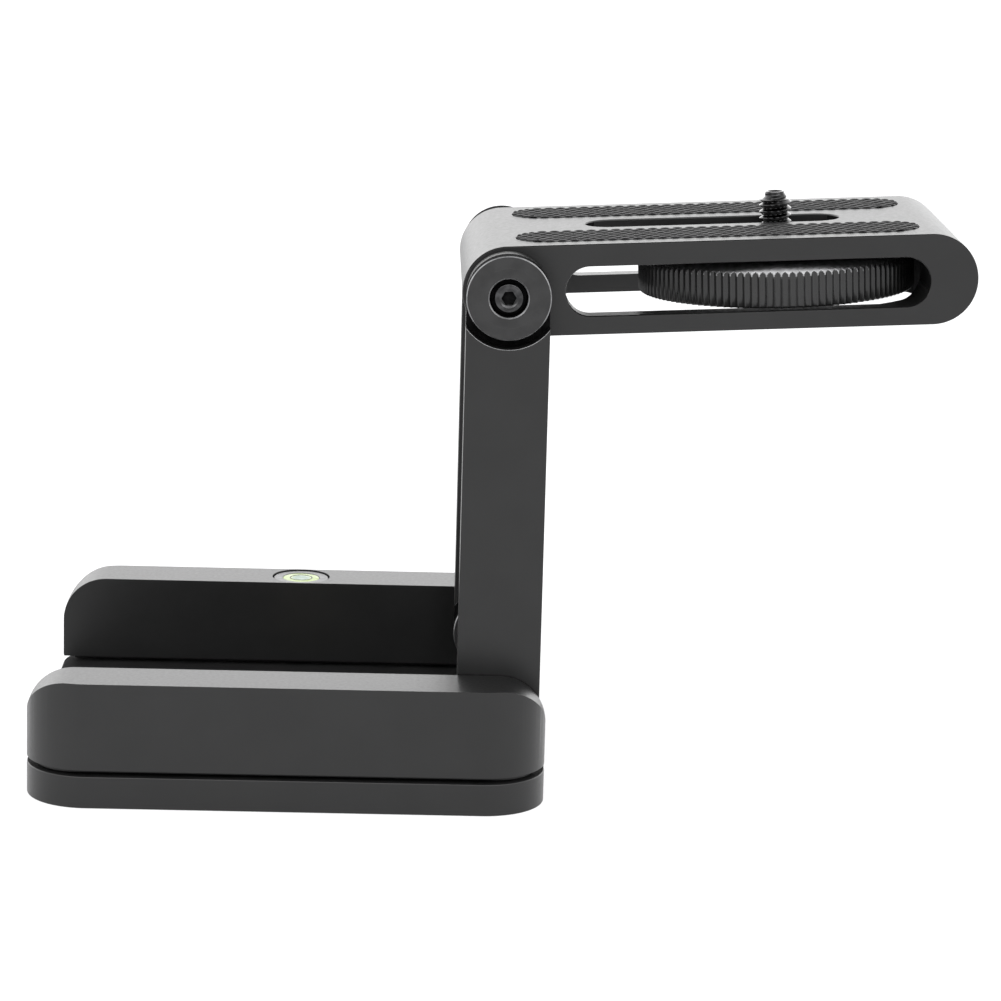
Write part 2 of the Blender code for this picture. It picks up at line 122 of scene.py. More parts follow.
# Wheel, camera screw and collar; heights are from the wheel's own origin
WHEEL_RADIUS = 27.3 * MM
WHEEL_LOW = -4.8 * MM
WHEEL_SHOULDER = 0.6 * MM
WHEEL_SHOULDER_RADIUS = 3.1 * MM
WHEEL_TEETH = 120
WHEEL_FLUTE_DEPTH = 0.42 * MM
WHEEL_TOOTH_STEPS = 10
WHEEL_FOOT_EDGE = 0.35 * MM
WHEEL_RIM_WIDTH = 4.0 * MM
WHEEL_HUB_RADII = (7.0 * MM, 4.0 * MM)
WHEEL_UNDERCUT = 0.6 * MM
WHEEL_DISH_RADIUS = 14.0 * MM
WHEEL_DISH_DEPTH = 0.35 * MM
WHEEL_DISH_SLOPE = 0.6 * MM
WHEEL_CROWN = 0.05 * MM
SCREW_RADIUS = 3.175 * MM
SCREW_PITCH = 1.27 * MM
SCREW_THREAD_DEPTH = 0.66 * MM
SCREW_TIP = 14.2 * MM
SCREW_TIP_RADIUS = 1.8 * MM
SCREW_CONE = 1.4 * MM
SCREW_DIMPLE = 0.25 * MM
SCREW_FOOT_RADIUS = 5.5 * MM
SCREW_FOOT_HEIGHT = 0.65 * MM
THREAD_LOW = 3.5 * MM
THREAD_STEPS = 64
THREAD_LEVELS_PER_PITCH = 16
COLLAR_DROP = 2.5 * MM
COLLAR_BORE_GAP = 0.15 * MM
COLLAR_SLOT_GAP = 0.35 * MM

# Cutters run this far past a surface, or this far off each other's faces; ON_FACE is a tolerance
PAST = 1.0 * MM
FAR_PAST = 60.0 * MM
CUTTER_STEP = 0.04 * MM
ON_FACE = 0.02 * MM

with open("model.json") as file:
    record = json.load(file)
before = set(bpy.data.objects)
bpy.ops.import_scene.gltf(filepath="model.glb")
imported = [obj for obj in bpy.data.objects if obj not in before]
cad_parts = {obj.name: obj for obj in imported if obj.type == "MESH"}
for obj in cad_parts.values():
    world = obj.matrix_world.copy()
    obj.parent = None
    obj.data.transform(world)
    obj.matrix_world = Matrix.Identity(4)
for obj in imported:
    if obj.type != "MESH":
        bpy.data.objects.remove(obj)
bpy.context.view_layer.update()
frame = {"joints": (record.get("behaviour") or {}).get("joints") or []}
joints = {joint["name"]: joint for joint in frame["joints"]}


# ---- frames of the moving bodies -------------------------------------------------------------

def joint_place(name):
    return Vector(joints[name]["pos_m"])


SLIDE_AXIS = Vector(joints["screw_slide"]["axis"])
PLATE_TILT = math.atan2(SLIDE_AXIS.z, SLIDE_AXIS.x)
ROOT = Matrix.Identity(4)
ARM = Matrix.Translation(joint_place("base_tilt"))
PLATE = Matrix.Translation(joint_place("plate_tilt")) @ Matrix.Rotation(-PLATE_TILT, 4, "Y")
WHEEL = Matrix.Translation(joint_place("wheel_turn")) @ Matrix.Rotation(-PLATE_TILT, 4, "Y")
ARM_SPACING = joint_place("plate_tilt").z - joint_place("base_tilt").z
BASE_LOW, BASE_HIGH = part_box("base_plate")
BASE_MIDDLE = (BASE_LOW.x + BASE_HIGH.x) / 2
ARM_LOW, ARM_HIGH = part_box("arm_far")
ARM_INNER = ARM_LOW.y
ARM_OUTER = ARM_HIGH.y
ARM_HALF = (ARM_HIGH.x - ARM_LOW.x) / 2
DISC_LOW, DISC_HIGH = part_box("top_pivot_far_disc")
DISC_RADIUS = (DISC_HIGH.x - DISC_LOW.x) / 2
COUNTERBORE_FLOOR = ARM_OUTER - COUNTERBORE_DEPTH
PIVOT_SCREW_LOW, PIVOT_SCREW_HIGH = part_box("top_pivot_far_screw")
PIVOT_HEAD_RADIUS = (PIVOT_SCREW_HIGH.x - PIVOT_SCREW_LOW.x) / 2
PLATE_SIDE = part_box("top_plate")[1].y
PLATE_INNER_TOP = PLATE_RADIUS - PLATE_WALL


def node_axis(node):
    low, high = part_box(node)
    return (low.x + high.x) / 2, (low.y + high.y) / 2


def node_radius(node):
    low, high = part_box(node)
    return (high.x - low.x) / 2


# ---- mesh tools ------------------------------------------------------------------------------

def arc(centre, radius, start, end, steps):
    points = []
    for step in range(steps + 1):
        angle = math.radians(start + (end - start) * step / steps)
        points.append((centre[0] + radius * math.cos(angle), centre[1] + radius * math.sin(angle)))
    return points


def circle(centre, radius, steps):
    return arc(centre, radius, 0, 360, steps)[:-1]


def stadium(start, end, radius, across=0.0, steps=32):
    """Returns an outline function of an offset, for a slot shape along the first axis."""
    def outline(offset=0.0):
        grown = radius + offset
        right = arc((end - radius, across), grown, -90, 90, steps)
        left = arc((start + radius, across), grown, 90, 270, steps)
        return right + left
    return outline


def rounded_box(low, high, radii, steps=16):
    """Outline function of an offset; a corner of radius 0 stays square."""
    corners = [(low[0], low[1]), (high[0], low[1]), (high[0], high[1]), (low[0], high[1])]

    def outline(offset=0.0):
        points = []
        for index, (corner, radius) in enumerate(zip(corners, radii)):
            inward_x = 1 if corner[0] == low[0] else -1
            inward_y = 1 if corner[1] == low[1] else -1
            if radius == 0:
                points.append((corner[0] - inward_x * offset, corner[1] - inward_y * offset))
                continue
            centre = (corner[0] + inward_x * radius, corner[1] + inward_y * radius)
            start = 180 + 90 * index
            points += arc(centre, radius + offset, start, start + 90, steps)
        return points
    return outline


def round_outline(centre, radius, steps=96):
    return lambda offset=0.0: circle(centre, radius + offset, steps)


def edge_levels(low, high, radius, steps=4):
    """Heights and offsets of a body whose two rims are rounded with the given radius."""
    angles = [math.pi / 2 * step / steps for step in range(steps + 1)]
    bottom = [(low + radius * (1 - math.cos(a)), -radius * (1 - math.sin(a))) for a in angles]
    top = [(low + high - height, offset) for height, offset in reversed(bottom)]
    return bottom + top


def flared_levels(low, high, radius, open_low=True, open_high=True, steps=4):
    """Heights and offsets of a cutter that rounds the rims of the hole it cuts."""
    angles = [math.pi / 2 * step / steps for step in range(steps + 1)]
    bottom = [(low - PAST, radius)]
    bottom += [(low + radius * (1 - math.cos(a)), radius * (1 - math.sin(a))) for a in angles]
    top = [(low + high - height, offset) for height, offset in reversed(bottom)]
    if not open_low:
        bottom = [(low, 0.0)]
    if not open_high:
        top = [(high, 0.0)]
    return bottom + top


def blind_levels(surface, floor, radius):
    """Levels of a blind hole with a rounded rim, cut from a face down to its floor."""
    if surface > floor:
        return flared_levels(floor, surface, radius, open_low=False)
    return flared_levels(surface, floor, radius, open_high=False)


def loft(outline, levels, axis="Z"):
    """Stack an outline at several (height, offset) levels into one closed body."""
    bm = bmesh.new()
    rings = []
    for height, offset in levels:
        ring = []
        for first, second in outline(offset):
            place = (first, second, height) if axis == "Z" else (first, height, second)
            ring.append(bm.verts.new(place))
        rings.append(ring)
    bm.faces.new(rings[0])
    bm.faces.new(rings[-1])
    count = len(rings[0])
    for lower, upper in zip(rings, rings[1:]):
        for index in range(count):
            after = (index + 1) % count
            bm.faces.new((lower[index], lower[after], upper[after], upper[index]))
    return bm


def turned(profile, steps=96):
    """Spin a closed (radius, height) outline about Z; radius 0 becomes a single point."""
    bm = bmesh.new()
    rings = []
    for radius, height in profile:
        if radius == 0:
            rings.append([bm.verts.new((0, 0, height))])
            continue
        rings.append([bm.verts.new((x, y, height)) for x, y in circle((0, 0), radius, steps)])
    for index, ring in enumerate(rings):
        after = rings[(index + 1) % len(rings)]
        if len(ring) == 1 and len(after) == 1:
            continue
        for step in range(steps):
            following = (step + 1) % steps
            corners = [ring[step % len(ring)], ring[following % len(ring)]]
            corners += [after[following % len(after)], after[step % len(after)]]
            bm.faces.new(list(dict.fromkeys(corners)))
    return bm


def ring_profile(inner, outer, low, high):
    return [(inner, low), (outer, low), (outer, high), (inner, high)]


def soften(profile, radius, steps=3):
    """Round each corner of a closed (radius, height) outline that lies off the axis."""
    softened = []
    count = len(profile)
    for index, corner in enumerate(profile):
        if corner[0] == 0:
            softened.append(corner)
            continue
        here = Vector(corner)
        before = Vector(profile[index - 1]) - here
        after = Vector(profile[(index + 1) % count]) - here
        reach = min(radius, before.length * 0.45, after.length * 0.45)
        start = here + before.normalized() * reach
        end = here + after.normalized() * reach
        for step in range(steps + 1):
            t = step / steps
            point = start * (1 - t) ** 2 + here * 2 * t * (1 - t) + end * t ** 2
            softened.append((point.x, point.y))
    return softened


def grid_of_rings(ring_points, cap_low, cap_high):
    """Join rings of 3-D points, and close both ends with a fan to a centre point."""
    bm = bmesh.new()
    rings = [[bm.verts.new(point) for point in ring] for ring in ring_points]
    count = len(rings[0])
    for lower, upper in zip(rings, rings[1:]):
        for index in range(count):
            after = (index + 1) % count
            bm.faces.new((lower[index], lower[after], upper[after], upper[index]))
    for ring, centre in ((rings[0], cap_low), (rings[-1], cap_high)):
        middle = bm.verts.new(centre)
        for index in range(count):
            bm.faces.new((ring[index], ring[(index + 1) % count], middle))
    return bm


def to_object(name, bm, matrix=ROOT, keep_axes=False):
    """Make an object; its mesh is in the shared frame unless it keeps its own axes."""
    if not keep_axes:
        bm.transform(matrix)
        matrix = ROOT
    bmesh.ops.recalc_face_normals(bm, faces=bm.faces)
    mesh = bpy.data.meshes.new(name)
    bm.to_mesh(mesh)
    bm.free()
    obj = bpy.data.objects.new(name, mesh)
    bpy.context.collection.objects.link(obj)
    obj.matrix_world = matrix
    return obj


def bake_modifiers(obj):
    """Replace an object's mesh by what its modifiers make of it."""
    bpy.context.view_layer.update()
    evaluated = obj.evaluated_get(bpy.context.evaluated_depsgraph_get())
    mesh = bpy.data.meshes.new_from_object(evaluated)
    obj.modifiers.clear()
    obj.data = mesh


def combine(target, tools, operation="DIFFERENCE"):
    for tool in tools:
        modifier = target.modifiers.new(tool.name, "BOOLEAN")
        modifier.operation = operation
        modifier.solver = "EXACT"
        modifier.object = tool
    bake_modifiers(target)
    for tool in tools:
        bpy.data.objects.remove(tool, do_unlink=True)


def round_edges(obj, width, angle=40, segments=2):
    bevel = obj.modifiers.new("edges", "BEVEL")
    bevel.width = width
    bevel.segments = segments
    bevel.limit_method = "ANGLE"
    bevel.angle_limit = math.radians(angle)
    bake_modifiers(obj)


def mark_faces(obj, matrix, inside, index=1):
    """Give another material to the faces whose centre and normal pass a test in a frame."""
    to_frame = matrix.inverted() @ obj.matrix_world
    turn = to_frame.to_3x3()
    for polygon in obj.data.polygons:
        if inside(to_frame @ polygon.center, turn @ polygon.normal):
            polygon.material_index = index


# ---- materials -------------------------------------------------------------------------------

class Shader:
    """A small helper that builds one Principled material from object-space textures."""

    def __init__(self, name, roughness, metallic=0.0, **sockets):
        self.material = bpy.data.materials.new(name)
        self.material.use_nodes = True
        self.tree = self.material.node_tree
        self.principled = self.tree.nodes["Principled BSDF"]
        self.principled.inputs["Roughness"].default_value = roughness
        self.principled.inputs["Metallic"].default_value = metallic
        for label, value in sockets.items():
            self.principled.inputs[label.replace("_", " ")].default_value = value
        self.coordinates = self.node("ShaderNodeTexCoord").outputs["Object"]
        self.normal = None

    def node(self, kind, **settings):
        made = self.tree.nodes.new(kind)
        for label, value in settings.items():
            setattr(made, label, value)
        return made

    def link(self, source, target):
        self.tree.links.new(source, target)

    def noise(self, period, detail=3.0, stretch=(1, 1, 1)):
        mapping = self.node("ShaderNodeMapping")
        mapping.inputs["Scale"].default_value = stretch
        self.link(self.coordinates, mapping.inputs["Vector"])
        noise = self.node("ShaderNodeTexNoise")
        noise.inputs["Scale"].default_value = 1 / period
        noise.inputs["Detail"].default_value = detail
        self.link(mapping.outputs["Vector"], noise.inputs["Vector"])
        return noise.outputs["Fac"]

    def rings(self, period):
        wave = self.node("ShaderNodeTexWave", wave_type="RINGS", rings_direction="Z")
        wave.inputs["Scale"].default_value = 0.314 / period
        wave.inputs["Distortion"].default_value = 0.6
        self.link(self.coordinates, wave.inputs["Vector"])
        return wave.outputs["Fac"]

    def ramp(self, value, low, high, start=0.35, end=0.65):
        ramp = self.node("ShaderNodeValToRGB")
        ramp.color_ramp.elements[0].position = start
        ramp.color_ramp.elements[0].color = (*low, 1)
        ramp.color_ramp.elements[1].position = end
        ramp.color_ramp.elements[1].color = (*high, 1)
        self.link(value, ramp.inputs["Fac"])
        return ramp.outputs["Color"]

    def colour(self, source):
        self.link(source, self.principled.inputs["Base Color"])

    def vary_roughness(self, value, low, high):
        span = self.node("ShaderNodeMapRange")
        span.inputs["From Min"].default_value = 0.3
        span.inputs["From Max"].default_value = 0.7
        span.inputs["To Min"].default_value = low
        span.inputs["To Max"].default_value = high
        self.link(value, span.inputs["Value"])
        self.link(span.outputs["Result"], self.principled.inputs["Roughness"])

    def bump(self, height, distance, strength=1.0):
        bump = self.node("ShaderNodeBump")
        bump.inputs["Strength"].default_value = strength
        bump.inputs["Distance"].default_value = distance
        self.link(height, bump.inputs["Height"])
        if self.normal is not None:
            self.link(self.normal, bump.inputs["Normal"])
        self.normal = bump.outputs["Normal"]
        self.link(self.normal, self.principled.inputs["Normal"])


def grey(value):
    return (value, value, value * 1.02)


def anodised_material(name, tone, roughness, index=1.46):
    """Bead-blasted black anodising: fine grain, slight cloudiness, softly varying sheen."""
    shader = Shader(name, roughness, IOR=index)
    clouds = shader.noise(9 * MM, 4.0)
    grain = shader.noise(0.16 * MM, 2.0)
    shader.colour(shader.ramp(clouds, grey(tone * 0.9), grey(tone * 1.15)))
    shader.vary_roughness(shader.noise(0.7 * MM, 5.0), roughness - 0.03, roughness + 0.03)
    shader.bump(grain, 0.005 * MM, 0.5)
    return shader.material


def turned_material():
    """Black anodised face with fine concentric turning marks."""
    shader = Shader("turned_black", 0.34, IOR=1.44)
    shader.colour(shader.ramp(shader.noise(3 * MM), grey(0.010), grey(0.017)))
    shader.vary_roughness(shader.noise(1.5 * MM), 0.30, 0.40)
    shader.bump(shader.rings(0.22 * MM), 0.003 * MM, 0.5)
    return shader.material


def steel_material(name, low, high, roughness, metallic=1.0):
    shader = Shader(name, roughness, metallic)
    shader.colour(shader.ramp(shader.noise(1.2 * MM), low, high))
    shader.vary_roughness(shader.noise(0.6 * MM), roughness - 0.05, roughness + 0.08)
    shader.bump(shader.noise(0.12 * MM), 0.003 * MM, 0.4)
    return shader.material


def rubber_material():
    shader = Shader("grip_rubber", 0.5, IOR=1.14)
    shader.colour(shader.ramp(shader.noise(1.1 * MM, 5.0), grey(0.008), grey(0.02)))
    shader.vary_roughness(shader.noise(0.8 * MM), 0.36, 0.52)
    shader.bump(shader.noise(0.35 * MM, 4.0), 0.06 * MM, 0.6)
    return shader.material


def plastic_material(name, low, high, roughness):
    shader = Shader(name, roughness)
    shader.colour(shader.ramp(shader.noise(2 * MM), low, high))
    shader.vary_roughness(shader.noise(1.0 * MM), roughness - 0.04, roughness + 0.06)
    shader.bump(shader.noise(0.25 * MM), 0.004 * MM, 0.4)
    return shader.material


def painted_shade_material():
    """Painted shade: a matt near-black for the inside of narrow gaps and bores, and for other faces that
    should look shaded.
    """
    shader = Shader("painted_shade_black", 0.75, IOR=1.06)
    shader.colour(shader.ramp(shader.noise(0.8 * MM), grey(0.004), grey(0.008)))
    shader.bump(shader.noise(0.2 * MM), 0.004 * MM, 0.4)
    return shader.material


def vial_material(name, low, high):
    """Tinted acrylic seen with the fluid behind it."""
    shader = Shader(name, 0.12, IOR=1.08)
    shader.colour(shader.ramp(shader.noise(1.5 * MM), low, high))
    shader.vary_roughness(shader.noise(1.0 * MM), 0.08, 0.2)
    return shader.material


MATERIALS = {
    "black_anodised": anodised_material("black_anodised", 0.006, 0.36),
    "knurled_black": anodised_material("knurled_black", 0.009, 0.30, 1.52),
    # Painted shade: a low-sheen copy of the anodising that darkens the base plate's top.
    "painted_shade_matt_black": anodised_material("painted_shade_matt_black", 0.012, 0.60, 1.09),
    "turned_black": turned_material(),
    "dark_steel": steel_material("dark_steel", grey(0.035), grey(0.075), 0.20),
    # Painted highlight: bright steel standing in for the sheen on the wheel's shoulder and the highlight
    # lines on chamfered rims.
    "painted_highlight_steel": steel_material("painted_highlight_steel", grey(0.19), grey(0.27), 0.40),
    "thread_steel": steel_material("thread_steel", grey(0.02), grey(0.05), 0.14),
    "plain_steel": steel_material("plain_steel", grey(0.22), grey(0.32), 0.30),
    "bronze": steel_material("bronze", (0.42, 0.28, 0.12), (0.55, 0.38, 0.17), 0.32),
    "brass_bush": steel_material("brass_bush", (0.55, 0.40, 0.16), (0.68, 0.50, 0.22), 0.26),
    "washer_plastic": plastic_material("washer_plastic", (0.50, 0.48, 0.42), (0.60, 0.57, 0.50), 0.5),
    "collar_plastic": plastic_material("collar_plastic", grey(0.012), grey(0.02), 0.4),
    "grip_rubber": rubber_material(),
    # Painted shade, put on faces in gaps, bores and recesses to darken them.
    "painted_shade_black": painted_shade_material(),
    "level_body": plastic_material("level_body", grey(0.04), grey(0.07), 0.34),
    "level_fluid": plastic_material("level_fluid", (0.16, 0.26, 0.02), (0.22, 0.34, 0.04), 0.15),
    "level_lens": vial_material("level_lens", (0.34, 0.42, 0.20), (0.44, 0.50, 0.32)),
    "level_mark": plastic_material("level_mark", grey(0.008), grey(0.015), 0.4),
    "level_bubble": vial_material("level_bubble", (0.24, 0.30, 0.26), (0.34, 0.40, 0.36)),
}


# By default the marked faces get the painted shade material.
def finish(obj, body, slot, nodes=(), material=None, sharp=38, marked=("painted_shade_black",)):
    """Give a piece its materials and smooth shading, and tell the frame what it is."""
    mesh = obj.data
    mesh.shade_smooth()
    mesh.set_sharp_from_angle(angle=math.radians(sharp))
    weighted = obj.modifiers.new("weighted", "WEIGHTED_NORMAL")
    weighted.keep_sharp = True
    weighted.weight = 100
    marks = [polygon.material_index for polygon in mesh.polygons]
    mesh.materials.clear()
    for name in (material or slot, *marked[:max(marks)]):
        mesh.materials.append(MATERIALS[name])
    mesh.polygons.foreach_set("material_index", marks)
    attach(obj, body)
    if nodes:
        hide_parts(*nodes)


# ---- base ------------------------------------------------------------------------------------

def rail_screw_names():
    return [f"rail_screw_{side}_{number}" for side in SIDES for number in (1, 2, 3)]


def build_base_plate():
    outline = rounded_box(BASE_LOW[:2], BASE_HIGH[:2], [BASE_CORNER] * 4, 24)
    levels = edge_levels(BASE_LOW.z, BASE_HIGH.z, BASE_EDGE)
    plate = to_object("base_plate_fine", loft(outline, levels))
    hole = round_outline((BASE_MIDDLE, 0), node_radius("tripod_insert") + FIT_GAP)
    tools = [to_object("socket", loft(hole, flared_levels(0, BASE_HIGH.z, BASE_EDGE)))]
    cone = RAIL_SCREW_SHANK
    levels = [(-PAST, 0), (RAIL_SCREW_SEAT, 0), (RAIL_SCREW_SEAT + cone, -cone), (BASE_HIGH.z + PAST, -cone)]
    for node in rail_screw_names():
        hole = round_outline(node_axis(node), node_radius(node) + RAIL_SCREW_GAP, 48)
        tools.append(to_object(node + "_seat", loft(hole, levels)))
    combine(plate, tools)
    top = BASE_HIGH.z - FIT_GAP
    # The base plate's upward top face gets the painted shade copy of the anodising.
    mark_faces(plate, ROOT, lambda point, normal: normal.z > 0.9 and point.z > top)
    finish(plate, "base", "black_anodised", ["base_plate"], marked=("painted_shade_matt_black",))


def build_rail_screw(node):
    """A countersunk screw, head down, with a hexagon recess in a shallow dimple."""
    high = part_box(node)[1].z
    head = node_radius(node)
    shank = RAIL_SCREW_SHANK
    face = 0.2 * MM
    edge = 0.5 * MM
    dimple = (1.5 * MM, 0.7 * MM)
    profile = [(0, dimple[1]), dimple, (dimple[0], face), (head, face), (head, edge)]
    profile += [(shank, edge + head - shank), (shank, high), (0, high)]
    place = Matrix.Translation((*node_axis(node), 0))
    screw = to_object(node + "_fine", turned(soften(profile, 0.12 * MM), 48), place)
    recess = round_outline((0, 0), HEX_RADIUS, 6)
    combine(screw, [to_object("hex", loft(recess, [(-PAST, 0), (1.6 * MM, 0)]), place)])
    finish(screw, "base", "dark_steel", [node])


def threaded_sleeve(bore, outer, low, high, pitch, steps=48):
    """A sleeve whose bore has thread grooves one pitch apart."""
    depth = pitch * 0.35
    grooves = max(1, int((high - low) / pitch))
    first = (low + high - grooves * pitch) / 2
    profile = [(outer, low), (outer, high), (bore + depth, high)]
    for number in range(grooves, 0, -1):
        crest = first + number * pitch
        profile.append((bore, crest - 0.25 * pitch))
        profile.append((bore + depth, crest - 0.75 * pitch))
    profile.append((bore + depth, low))
    return turned(profile, steps)


def build_tripod_socket():
    """A 3/8-16 insert in the base, with a reducer to 1/4-20 inside it."""
    place = Matrix.Translation((BASE_MIDDLE, 0, 0))
    reducer = node_radius("reducer_bush")
    low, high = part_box("tripod_insert")
    outer = node_radius("tripod_insert")
    insert = threaded_sleeve(reducer + REDUCER_GAP, outer, low.z, high.z, TRIPOD_PITCH)
    finish(to_object("tripod_insert_fine", insert, place), "base", "plain_steel", ["tripod_insert"])
    low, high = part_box("reducer_bush")
    bush = threaded_sleeve(REDUCER_BORE, reducer, low.z, high.z, SCREW_PITCH)
    finish(to_object("reducer_bush_fine", bush, place), "base", "brass_bush", ["reducer_bush"])


def build_rail(side_name, side):
    """A rail rounded at its outer corners and upper ends, above a seam cut in round its foot."""
    node = "rail_" + side_name
    low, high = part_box(node)
    radii = [BASE_CORNER if side < 0 else 0] * 2 + [BASE_CORNER if side > 0 else 0] * 2
    plan = rounded_box(low[:2], high[:2], radii, 24)
    rail = to_object(node + "_fine", loft(plan, [(low.z, 0), (high.z, 0)]))
    ends = [RAIL_FOOT_CORNER, RAIL_FOOT_CORNER, RAIL_TOP_CORNER, RAIL_TOP_CORNER]
    elevation = rounded_box((low.x, low.z), (high.x, high.z), ends, 16)
    profile = to_object("ends", loft(elevation, [(low.y - PAST, 0), (high.y + PAST, 0)], "Y"))
    combine(rail, [profile], "INTERSECT")
    around = rounded_box((low.x - PAST, low.y - PAST), (high.x + PAST, high.y + PAST), [0] * 4)
    seam = to_object("seam", loft(around, [(0, 0), (low.z + RAIL_SEAM_HEIGHT, 0)]))
    inner_low = (low.x + RAIL_SEAM_DEPTH, low.y + RAIL_SEAM_DEPTH)
    inner_high = (high.x - RAIL_SEAM_DEPTH, high.y - RAIL_SEAM_DEPTH)
    foot = rounded_box(inner_low, inner_high, [RAIL_SEAM_CORNER if radius else 0 for radius in radii])
    combine(seam, [to_object("foot", loft(foot, [(-PAST, 0), (high.z, 0)]))])
    combine(rail, [seam])
    if side > 0:
        seat = round_outline(node_axis("level_cup"), node_radius("level_cup") + LEVEL_SEAT_GAP)
        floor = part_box("level_cup")[0].z - LEVEL_SEAT_FLOOR
        levels = flared_levels(floor, high.z, LEVEL_SEAT_EDGE, open_low=False)
        combine(rail, [to_object("seat", loft(seat, levels))])
    round_edges(rail, RAIL_EDGE)
    finish(rail, "base", "black_anodised", [node])


def build_level():
    """The vial sits a little below the rail's top; its target ring and bubble lie on the lens."""
    low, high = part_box("level_cup")
    place = Matrix.Translation((*node_axis("level_cup"), low.z))
    outer = node_radius("level_cup")
    top = high.z - low.z - LEVEL_DROP
    inside = outer - LEVEL_WALL
    cup = [(0, 0), (outer, 0), (outer, top), (inside, top), (inside, LEVEL_WALL), (0, LEVEL_WALL)]
    piece = to_object("level_cup_fine", turned(soften(cup, 0.2 * MM)), place)
    finish(piece, "base", "level_body", ["level_cup"])
    vial = inside - FIT_GAP
    lens_low = top - LENS_THICKNESS
    lens_top = top - LENS_DROP
    fluid = ring_profile(0, vial, LEVEL_WALL + FIT_GAP, lens_low - FIT_GAP)
    piece = to_object("level_fluid_fine", turned(fluid), place)
    finish(piece, "base", "level_fluid", ["level_fluid"])
    lens = ring_profile(0, vial, lens_low, lens_top)
    piece = to_object("level_lens_fine", turned(soften(lens, 0.15 * MM)), place)
    finish(piece, "base", "level_lens", ["level_lens"])
    target = ring_profile(*TARGET_RADII, lens_top, lens_top + TARGET_RISE)
    piece = to_object("level_target_ring", turned(target, 64), place)
    finish(piece, "base", "level_body", material="level_mark")
    angles = [math.pi * step / 16 for step in range(17)]
    bubble = [(BUBBLE_RADIUS * math.sin(a), lens_top + BUBBLE_RISE * math.cos(a)) for a in angles]
    bubble[0] = (0, bubble[0][1])
    bubble[-1] = (0, bubble[-1][1])
    piece = to_object("level_bubble", turned(bubble, 48), place)
    finish(piece, "base", "level_fluid", material="level_bubble")


# ---- arm bars and pivots ---------------------------------------------------------------------

def build_arm(side_name, side):
    """A bar with, at each end, a relief for the disc and a washer's seat in the other face."""
    node = "arm_" + side_name
    low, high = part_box(node)
    outer = side * max(abs(low.y), abs(high.y))
    inner = side * min(abs(low.y), abs(high.y))
    slot = stadium(-ARM_HALF, ARM_SPACING + ARM_HALF, ARM_HALF, steps=40)

    def outline(offset=0.0):
        return [(across, along) for along, across in slot(offset)]

    levels = edge_levels(min(inner, outer), max(inner, outer), ARM_EDGE)
    arm = to_object(node + "_fine", loft(outline, levels, "Y"), ARM)
    tools = []
    reliefs = [
        (ARM_SPACING, outer, outer - side * RELIEF_DEPTH),
        (0.0, inner, inner + side * RELIEF_DEPTH),
    ]
    for height, surface, floor in reliefs:
        washer_face = inner if surface == outer else outer
        inward = math.copysign(1, surface - washer_face)
        cuts = [
            ("relief", RELIEF_RADIUS, blind_levels(surface, floor, RELIEF_EDGE)),
            ("bore", BORE_RADIUS, [(inner - side * PAST, 0), (outer + side * PAST, 0)]),
            ("washer_recess", WASHER_RECESS_RADIUS,
             [(washer_face - inward * PAST, 0), (washer_face + inward * WASHER_RECESS, 0)]),
        ]
        for name, radius, levels in cuts:
            cutter = loft(round_outline((0, height), radius), levels, "Y")
            tools.append(to_object(name, cutter, ARM))
    combine(arm, tools)

    def in_relief(point, _normal):
        for height, surface, floor in reliefs:
            near_axis = math.hypot(point.x, point.z - height) < RELIEF_RADIUS + ON_FACE
            depth = abs(point.y - surface)
            if near_axis and abs(depth - abs(floor - surface)) < ON_FACE:
                return True
        return False

    def on_relief_rim(point, normal):
        for height, surface, _floor in reliefs:
            from_rim = math.hypot(point.x, point.z - height) - RELIEF_RADIUS
            if abs(point.y - surface) < RELIEF_EDGE and 0 < from_rim < RELIEF_EDGE:
                return 0.2 < abs(normal.y) < 0.98
        return False

    # Painted shade on the relief floors, and painted highlight lines on the relief rims.
    mark_faces(arm, ARM, in_relief)
    mark_faces(arm, ARM, on_relief_rim, 2)
    finish(arm, "arms", "black_anodised", [node], sharp=42, marked=("painted_shade_black", "painted_highlight_steel"))


def stack_place(level, side):
    """The frame of one pivot: Z points the way its screw head faces."""
    if level == "top":
        turn = Matrix.Rotation(-math.pi / 2 * side, 4, "X")
        return PLATE @ turn
    turn = Matrix.Rotation(math.pi / 2 * side, 4, "X")
    mirrored = Matrix.Translation((0, side * (ARM_OUTER + ARM_INNER), 0))
    return ARM @ mirrored @ turn


def on_disc_sides(point, normal):
    """Faces that get painted shade: the counterbore below its rim, and the disc's round side."""
    low_enough = COUNTERBORE_FLOOR - ON_FACE < point.z < ARM_OUTER - 2 * RIM_CHAMFER
    in_bore = low_enough and point.xy.length < COUNTERBORE_RADIUS + ON_FACE
    return in_bore or (point.xy.length > DISC_RADIUS - FIT_GAP and abs(normal.z) < 0.3)


